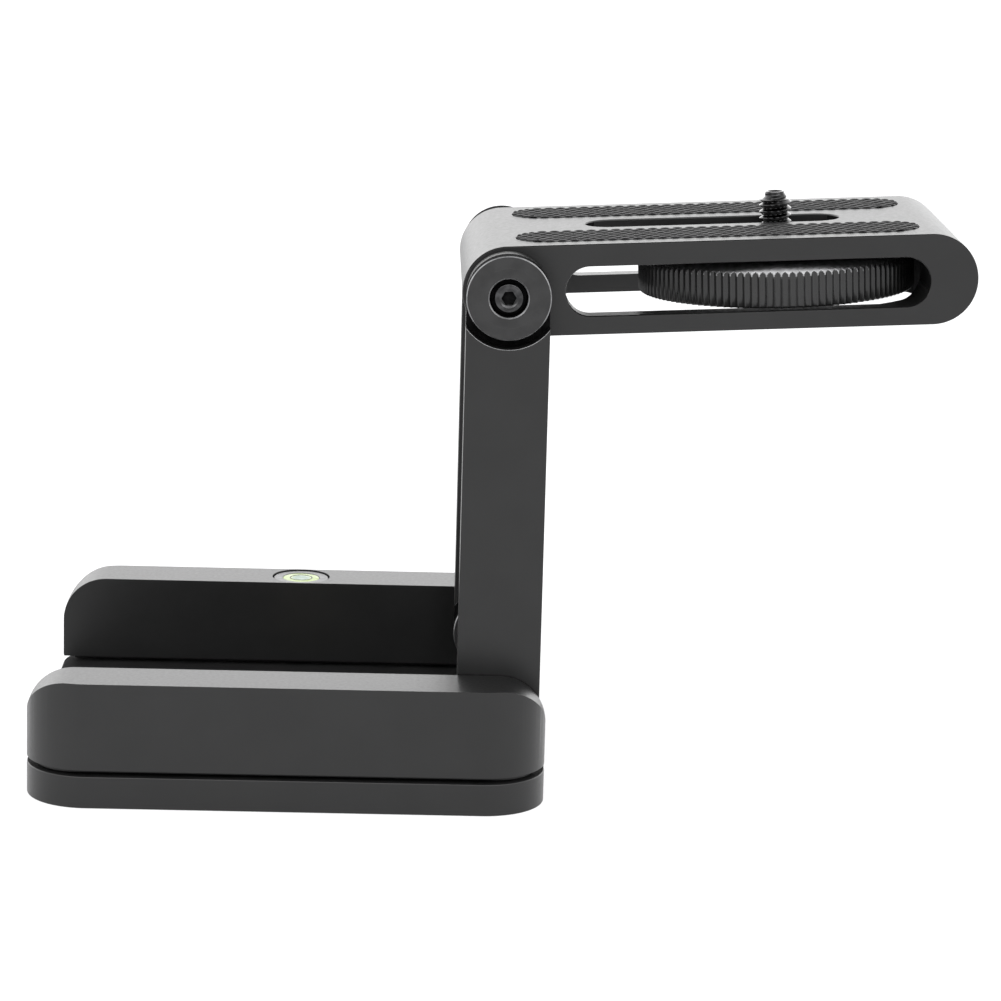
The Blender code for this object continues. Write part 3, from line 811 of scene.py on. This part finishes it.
def build_pivot_disc(prefix, body, place):
    """A disc with a counterbore, chamfered rims and one fine turned groove in its face."""
    face = ARM_OUTER
    back = face - (DISC_HIGH.y - DISC_LOW.y)
    mark = TURNED_MARK_WIDTH
    profile = [(PIVOT_BORE, back), (DISC_RADIUS - DISC_EDGE, back), (DISC_RADIUS, back + DISC_EDGE)]
    profile += [(DISC_RADIUS, face - DISC_EDGE), (DISC_RADIUS - DISC_EDGE, face)]
    profile += [(TURNED_MARK_RADIUS + mark, face), (TURNED_MARK_RADIUS, face - 0.4 * mark)]
    profile += [(TURNED_MARK_RADIUS - mark, face), (COUNTERBORE_RADIUS + RIM_CHAMFER, face)]
    profile += [(COUNTERBORE_RADIUS, face - RIM_CHAMFER), (COUNTERBORE_RADIUS, COUNTERBORE_FLOOR)]
    profile.append((PIVOT_BORE, COUNTERBORE_FLOOR))
    disc = to_object(prefix + "_disc_fine", turned(profile), place, keep_axes=True)
    mark_faces(disc, place, on_disc_sides)
    # The chamfers get painted highlight lines.
    mark_faces(disc, place, lambda point, normal: 0.3 < normal.z < 0.8, 2)
    finish(disc, body, "turned_black", [prefix + "_disc"], marked=("painted_shade_black", "painted_highlight_steel"))


def build_pivot_screw(prefix, body, place):
    """A cap screw whose hexagon recess has a countersunk rim."""
    high = max(abs(PIVOT_SCREW_HIGH.y), abs(PIVOT_SCREW_LOW.y))
    low = min(abs(PIVOT_SCREW_HIGH.y), abs(PIVOT_SCREW_LOW.y))
    shank = PIVOT_SHANK
    head_low = COUNTERBORE_FLOOR + PIVOT_HEAD_RISE
    profile = [(0, low), (shank - 0.3 * MM, low), (shank, low + 0.4 * MM), (shank, head_low)]
    profile += [(PIVOT_HEAD_RADIUS, head_low), (PIVOT_HEAD_RADIUS, high), (HEX_RADIUS + HEX_RIM[1], high)]
    profile += [(HEX_RADIUS + HEX_RIM[0], high - HEX_RIM_DEPTH), (0, high - HEX_RIM_DEPTH)]
    screw = to_object(prefix + "_screw_fine", turned(soften(profile, 0.16 * MM), 64), place, keep_axes=True)
    recess = loft(round_outline((0, 0), HEX_RADIUS, 6), [(high - HEX_DEPTH, 0), (high + PAST, 0)])
    combine(screw, [to_object("hex", recess, place, keep_axes=True)])
    recess_floor = high - HEX_DEPTH + FIT_GAP
    # Painted shade on the floor of the hexagon recess.
    mark_faces(screw, place, lambda point, normal: normal.z > 0.9 and head_low < point.z < recess_floor)
    finish(screw, body, "dark_steel", [prefix + "_screw"])


def build_pivot_ring(node, body, place, profile, softness, slot, material=None):
    ring = to_object(node + "_fine", turned(soften(profile, softness), 64), place, keep_axes=True)
    finish(ring, body, slot, [node], material)


def build_pivot(level, side_name, side):
    """One hinge: a disc and its screw, and the washers and bush between it and the arm bar."""
    prefix = f"{level}_pivot_{side_name}"
    body = "plate" if level == "top" else "base"
    place = stack_place(level, side)
    build_pivot_disc(prefix, body, place)
    spring_low, spring_high = (COUNTERBORE_FLOOR + rise for rise in SPRING_WASHER_LEVELS)
    spring = ring_profile(PIVOT_BORE, SPRING_WASHER_RADIUS, spring_low, spring_high)
    # The spring washer is drawn in the painted shade black, to look shaded in its counterbore.
    build_pivot_ring(prefix + "_spring_washer", body, place, spring, 0.1 * MM, "dark_steel", "painted_shade_black")
    build_pivot_screw(prefix, body, place)
    bush = ring_profile(PIVOT_BORE, BUSH_RADIUS, ARM_INNER, ARM_OUTER - RELIEF_DEPTH)
    build_pivot_ring(prefix + "_bush", body, place, bush, 0.15 * MM, "bronze")
    washer_top = ARM_INNER + FRICTION_WASHER_THICKNESS
    washer = ring_profile(BORE_RADIUS, FRICTION_WASHER_RADIUS, ARM_INNER, washer_top)
    build_pivot_ring(prefix + "_friction_washer", body, place, washer, 0.12 * MM, "washer_plastic")


# ---- top plate -------------------------------------------------------------------------------

def pocket_outline(offset=0.0):
    """The wheel pocket from above: straight sides, and ends that follow the wheel's rim."""
    radius = POCKET_RADIUS + offset
    reach = math.degrees(math.asin((PLATE_SIDE - PLATE_WALL + offset) / radius))
    left = arc((POCKET_CENTRES[0], 0), radius, 180 - reach, 180 + reach, 64)
    right = arc((POCKET_CENTRES[1], 0), radius, -reach, reach, 64)
    return left + right


def inside_plate(point, normal):
    """Faces given painted shade: the pocket and slots where they do not face up, and the rounded side edges.
    """
    along = min(max(point.x, 0.0), PLATE_CENTRES)
    deep = math.hypot(point.x - along, point.z) < PLATE_RADIUS - 0.5 * MM
    if abs(point.y) > PLATE_SIDE - 0.3 * MM:
        return normal.z > 0.3 and 0.35 < abs(normal.y) < 0.98
    return deep and normal.z < 0.4 and abs(normal.y) < 0.8


def build_top_plate():
    """A hollow plate: the wheel's pocket, windows in both sides and the screw's slot on top.

    The side slot stays CUTTER_STEP off the pocket's top, because a shared face spoils the cut.
    """
    end = PLATE_CENTRES + PLATE_RADIUS - PLATE_END_TRIM
    outline = stadium(-PLATE_RADIUS, end, PLATE_RADIUS, steps=48)
    levels = edge_levels(-PLATE_SIDE, PLATE_SIDE, PLATE_EDGE)
    plate = to_object("top_plate_fine", loft(outline, levels, "Y"), PLATE)
    levels = [(-FAR_PAST, 0), (PLATE_INNER_TOP - 0.01 * MM, 0)]
    tools = [to_object("pocket", loft(pocket_outline, levels), PLATE)]
    radius = (PLATE_INNER_TOP - SIDE_SLOT_LOW) / 2
    middle = (PLATE_INNER_TOP + SIDE_SLOT_LOW) / 2 - CUTTER_STEP
    side_slot = stadium(*SIDE_SLOT, radius, middle)
    levels = flared_levels(-PLATE_SIDE, PLATE_SIDE, SLOT_EDGE)
    tools.append(to_object("side_slot", loft(side_slot, levels, "Y"), PLATE))
    top_slot = stadium(*TOP_SLOT, TOP_SLOT_HALF_WIDTH)
    levels = flared_levels(0, PLATE_RADIUS, SLOT_EDGE, open_low=False)
    tools.append(to_object("top_slot", loft(top_slot, levels), PLATE))
    levels = [(PLATE_RADIUS - STRIP_RECESS, 0), (PLATE_RADIUS + PAST, 0)]
    for side in SIDES.values():
        start, end = STRIP[0] - STRIP_GAP, STRIP[1] + STRIP_GAP
        seat = stadium(start, end, STRIP_HALF_WIDTH + STRIP_GAP, side * STRIP_OFFSET)
        tools.append(to_object("strip_seat", loft(seat, levels), PLATE))
    combine(plate, tools)
    # Painted shade inside the pocket and slots and on the rounded side edges.
    mark_faces(plate, PLATE, inside_plate)
    finish(plate, "plate", "black_anodised", ["top_plate"], sharp=42)


def strip_half_width(along):
    """Half width of a grip strip at a distance along it: round ends and scalloped sides."""
    start, end = STRIP
    reach = min(along - start, end - along)
    width = STRIP_HALF_WIDTH
    if reach < STRIP_HALF_WIDTH:
        width = math.sqrt(max(0.0, STRIP_HALF_WIDTH ** 2 - (STRIP_HALF_WIDTH - reach) ** 2))
    notch = STRIP_SCALLOP * (0.5 - 0.5 * math.cos(2 * math.pi * along / STUD_PITCH)) ** 2
    return max(0.05 * MM, width - notch * min(1.0, width / STRIP_HALF_WIDTH * 1.5))


def stud_height(along, across):
    """Height, 0 to 1, of the staggered round studs moulded on a grip strip."""
    row_pitch = 2 * STRIP_HALF_WIDTH / STUD_ROWS
    row = across / row_pitch
    shift = 0.5 * (math.floor(row) % 2)
    from_x = ((along / STUD_PITCH + shift) % 1 - 0.5) * STUD_PITCH
    from_y = (row % 1 - 0.5) * row_pitch
    distance = math.hypot(from_x / STUD_RADII[0], from_y / STUD_RADII[1])
    return math.sqrt(max(0.0, 1 - distance ** 2))


def build_grip_strip(side_name, side):
    """A rubber strip as a fine height field of studs, closed by a flat underside."""
    start, end = STRIP
    columns = 640
    rows = 96
    floor = PLATE_RADIUS - STRIP_RECESS + 0.03 * MM
    slab = PLATE_RADIUS + STRIP_HEIGHT - STUD_HEIGHT
    bm = bmesh.new()
    top = []
    bottom = []
    for column in range(columns + 1):
        along = start + (end - start) * column / columns
        width = strip_half_width(along)
        top_row = []
        for row in range(rows + 1):
            across = width * (2 * row / rows - 1)
            to_edge = min(width - abs(across), along - start, end - along)
            shoulder = min(1.0, max(0.0, to_edge) / STRIP_SHOULDER) ** 0.5
            studs = STUD_HEIGHT * stud_height(along, across)
            height = PLATE_RADIUS + (slab - PLATE_RADIUS + studs) * shoulder
            top_row.append(bm.verts.new((along, side * STRIP_OFFSET + across, height)))
        top.append(top_row)
        bottom.append([bm.verts.new((along, side * STRIP_OFFSET + edge, floor)) for edge in (-width, width)])
    for column in range(columns):
        here, after = top[column], top[column + 1]
        under, under_after = bottom[column], bottom[column + 1]
        for row in range(rows):
            bm.faces.new((here[row], after[row], after[row + 1], here[row + 1]))
        bm.faces.new((under[0], under_after[0], under_after[1], under[1]))
        bm.faces.new((here[0], after[0], under_after[0], under[0]))
        bm.faces.new((here[-1], after[-1], under_after[1], under[1]))
    for column in (0, columns):
        bm.faces.new(top[column] + [bottom[column][1], bottom[column][0]])
    strip = to_object(f"grip_strip_{side_name}_fine", bm, PLATE)
    # Painted shade on the strip's side walls and steep stud flanks.
    mark_faces(strip, PLATE, lambda point, normal: normal.z < 0.4)
    finish(strip, "plate", "grip_rubber", ["grip_strip_" + side_name], sharp=80)


# ---- wheel and camera screw ------------------------------------------------------------------

def shoulder_radius(height):
    rise = min(1.0, max(0.0, height - WHEEL_SHOULDER) / WHEEL_SHOULDER_RADIUS)
    return WHEEL_RADIUS - WHEEL_SHOULDER_RADIUS * (1 - math.sqrt(1 - rise ** 2))


def on_shoulder(point, normal):
    """The smooth rounded part of the wheel above its flutes, which gets the painted highlight."""
    above = point.z > WHEEL_SHOULDER and point.xy.length > WHEEL_DISH_RADIUS
    return above and (normal.z > 0.7 or point.xy.length > shoulder_radius(point.z) - 0.03 * MM)


def on_circle(radius, angle, height):
    return radius * math.cos(angle), radius * math.sin(angle), height


def smooth_ring(radius, height, steps):
    return [(x, y, height) for x, y in circle((0, 0), radius, steps)]


def fluted_ring(height, steps):
    """One level of the rim: flutes that end where the shoulder is narrower than they are."""
    edge = WHEEL_FOOT_EDGE - min(WHEEL_FOOT_EDGE, height - WHEEL_LOW)
    shoulder = shoulder_radius(height)
    ring = []
    for step in range(steps):
        phase = (step % WHEEL_TOOTH_STEPS) / WHEEL_TOOTH_STEPS
        flute = WHEEL_FLUTE_DEPTH * (1 - (2 * phase - 1) ** 2)
        radius = min(WHEEL_RADIUS - flute - edge, shoulder)
        ring.append(on_circle(radius, 2 * math.pi * step / steps, height))
    return ring


def build_wheel():
    """A fluted rim under a rounded shoulder, which cuts each flute off in an arch."""
    steps = WHEEL_TEETH * WHEEL_TOOTH_STEPS
    round_top = WHEEL_SHOULDER + WHEEL_SHOULDER_RADIUS
    under = WHEEL_LOW + WHEEL_UNDERCUT
    dish = round_top - WHEEL_DISH_DEPTH
    heights = [WHEEL_LOW, WHEEL_LOW + 0.15 * MM, WHEEL_LOW + 0.4 * MM, -2.0 * MM, 0.0]
    angles = [math.pi / 2 * step / 20 for step in range(19)]
    heights += [WHEEL_SHOULDER + WHEEL_SHOULDER_RADIUS * math.sin(angle) for angle in angles]
    rings = [
        smooth_ring(WHEEL_HUB_RADII[0], under, steps),
        smooth_ring(WHEEL_RADIUS - WHEEL_RIM_WIDTH - WHEEL_UNDERCUT, under, steps),
        smooth_ring(WHEEL_RADIUS - WHEEL_RIM_WIDTH, WHEEL_LOW, steps),
    ]
    rings += [fluted_ring(height, steps) for height in heights]
    rings += [
        smooth_ring(WHEEL_RADIUS - WHEEL_SHOULDER_RADIUS, round_top, steps),
        smooth_ring(WHEEL_DISH_RADIUS, round_top + WHEEL_CROWN, steps),
        smooth_ring(WHEEL_DISH_RADIUS - WHEEL_DISH_SLOPE, dish, steps),
        smooth_ring(WHEEL_HUB_RADII[1], dish, steps),
    ]
    wheel = to_object("camera_wheel_fine", grid_of_rings(rings, (0, 0, under), (0, 0, dish)), WHEEL)
    # The shoulder gets the painted highlight steel.
    mark_faces(wheel, WHEEL, on_shoulder)
    finish(wheel, "wheel", "knurled_black", ["camera_wheel"], sharp=50, marked=("painted_highlight_steel",))


def thread_ring(height):
    """One level of a right-hand thread with a 60 degree profile and a chamfered tip."""
    below_tip = SCREW_TIP - height
    cone = SCREW_TIP_RADIUS + below_tip * 0.5 + max(0.0, below_tip - SCREW_CONE) * 3
    outer = min(SCREW_RADIUS, cone)
    depth = SCREW_THREAD_DEPTH * min(1.0, 0.6 * below_tip / SCREW_CONE)
    ring = []
    for step in range(THREAD_STEPS):
        turn = (height / SCREW_PITCH - step / THREAD_STEPS) % 1
        groove = max(0.0, min(1.0, (abs(turn - 0.5) * 2 - 0.125) / 0.75))
        ring.append(on_circle(outer - depth * groove, 2 * math.pi * step / THREAD_STEPS, height))
    return ring


def build_camera_screw():
    """The threaded screw with a dimple in its tip, and its round foot under the wheel."""
    length = SCREW_TIP - THREAD_LOW
    levels = int(length / SCREW_PITCH * THREAD_LEVELS_PER_PITCH)
    rings = [thread_ring(THREAD_LOW + length * level / levels) for level in range(levels + 1)]
    tip = rings[-1]
    for shrink, drop in ((0.85, 0.0), (0.7, SCREW_DIMPLE)):
        rings.append([(x * shrink, y * shrink, z - drop) for x, y, z in tip])
    solid = grid_of_rings(rings, (0, 0, THREAD_LOW), (0, 0, SCREW_TIP - SCREW_DIMPLE))
    screw = to_object("camera_screw_fine", solid, WHEEL)
    finish(screw, "wheel", "dark_steel", ["camera_screw"], material="thread_steel", sharp=30)
    profile = ring_profile(0, SCREW_FOOT_RADIUS, WHEEL_LOW, WHEEL_LOW + SCREW_FOOT_HEIGHT)
    foot = to_object("camera_screw_foot", turned(soften(profile, 0.1 * MM), 64), WHEEL)
    finish(foot, "wheel", "dark_steel")


def build_collar():
    """The plastic sleeve that guides the screw along the slot."""
    neck = TOP_SLOT_HALF_WIDTH - COLLAR_SLOT_GAP
    profile = ring_profile(SCREW_RADIUS + COLLAR_BORE_GAP, neck, THREAD_LOW, PLATE_RADIUS - COLLAR_DROP)
    collar = to_object("slide_collar_fine", turned(soften(profile, 0.35 * MM)), WHEEL)
    finish(collar, "carriage", "collar_plastic", ["slide_collar"])


# ---- stage -----------------------------------------------------------------------------------

CAMERA_PLACE = (-17.65 * MM, -710.5 * MM, 207.8 * MM)
CAMERA_YAW = math.radians(1.482)
CAMERA_PITCH = math.radians(12.42)
CAMERA_ROLL = math.radians(1.595)
CAMERA_LENS = 130.2
FLOOR_SIZE = 12.0
FLOOR_GAP = 0.02 * MM


def build_camera():
    data = bpy.data.cameras.new("camera")
    data.sensor_width = 36.0
    data.lens = CAMERA_LENS
    data.clip_start = 0.01
    data.clip_end = 50
    camera = bpy.data.objects.new("camera", data)
    bpy.context.collection.objects.link(camera)
    forward = Vector((math.sin(CAMERA_YAW) * math.cos(CAMERA_PITCH),
                      math.cos(CAMERA_YAW) * math.cos(CAMERA_PITCH),
                      -math.sin(CAMERA_PITCH)))
    level = Vector((math.cos(CAMERA_YAW), -math.sin(CAMERA_YAW), 0))
    upright = level.cross(forward)
    right = level * math.cos(CAMERA_ROLL) + upright * math.sin(CAMERA_ROLL)
    up = upright * math.cos(CAMERA_ROLL) - level * math.sin(CAMERA_ROLL)
    rotation = Matrix((right, up, -forward)).transposed().to_4x4()
    camera.matrix_world = Matrix.Translation(CAMERA_PLACE) @ rotation
    bpy.context.scene.camera = camera


def spread(tree, source, start, end, low, high):
    """Map a direction's coordinate to a strength, level beyond both ends of the span."""
    span = tree.nodes.new("ShaderNodeMapRange")
    for label, value in zip(("From Min", "From Max", "To Min", "To Max"), (start, end, low, high)):
        span.inputs[label].default_value = value
    tree.links.new(source, span.inputs["Value"])
    return span.outputs["Result"]


def joined(tree, operation, first, second):
    node = tree.nodes.new("ShaderNodeMath")
    node.operation = operation
    tree.links.new(first, node.inputs[0])
    tree.links.new(second, node.inputs[1])
    return node.outputs["Value"]


def build_floor():
    bm = bmesh.new()
    size = FLOOR_SIZE
    corners = [(-size, -size), (size, -size), (size, size), (-size, size)]
    bm.faces.new([bm.verts.new((x, y, -FLOOR_GAP)) for x, y in corners])
    floor = to_object("floor", bm)
    shader = Shader("floor", 0.9, Specular_IOR_Level=0.0, Emission_Strength=0.72)
    shader.principled.inputs["Emission Color"].default_value = (1, 1, 1, 1)
    shader.colour(shader.ramp(shader.noise(0.5), grey(0.27), grey(0.29)))
    floor.data.materials.append(shader.material)


def build_world():
    """A white studio, bright behind and at the sides, dark overhead, with a softbox in front."""
    world = bpy.data.worlds.new("studio")
    bpy.context.scene.world = world
    world.use_nodes = True
    tree = world.node_tree
    background = tree.nodes["Background"]
    background.inputs["Color"].default_value = (1, 1, 1, 1)
    coordinates = tree.nodes.new("ShaderNodeTexCoord")
    split = tree.nodes.new("ShaderNodeSeparateXYZ")
    tree.links.new(coordinates.outputs["Generated"], split.inputs["Vector"])
    sideways = tree.nodes.new("ShaderNodeMath")
    sideways.operation = "ABSOLUTE"
    tree.links.new(split.outputs["X"], sideways.inputs[0])
    behind = spread(tree, split.outputs["Y"], -0.5, 0.9, 0.7, 2.5)
    sides = spread(tree, sideways.outputs["Value"], 0.25, 0.6, 0.0, 0.8)
    overhead = spread(tree, split.outputs["Z"], 0.7, 0.95, 0.0, -0.65)
    raised = spread(tree, split.outputs["Z"], 0.35, 0.5, 0.0, 3.2)
    in_front = spread(tree, split.outputs["Y"], -0.4, -0.55, 0.0, 1.0)
    softbox = joined(tree, "MULTIPLY", raised, in_front)
    total = behind
    for part in (sides, overhead, softbox):
        total = joined(tree, "ADD", total, part)
    tree.links.new(total, background.inputs["Strength"])
    bpy.context.scene.view_settings.view_transform = "Standard"


def main():
    build_camera()
    build_floor()
    build_world()
    build_base_plate()
    for node in rail_screw_names():
        build_rail_screw(node)
    build_tripod_socket()
    build_level()
    for side_name, side in SIDES.items():
        build_rail(side_name, side)
        build_arm(side_name, side)
        for level in ("top", "base"):
            build_pivot(level, side_name, side)
        build_grip_strip(side_name, side)
    build_top_plate()
    build_wheel()
    build_camera_screw()
    build_collar()


main()
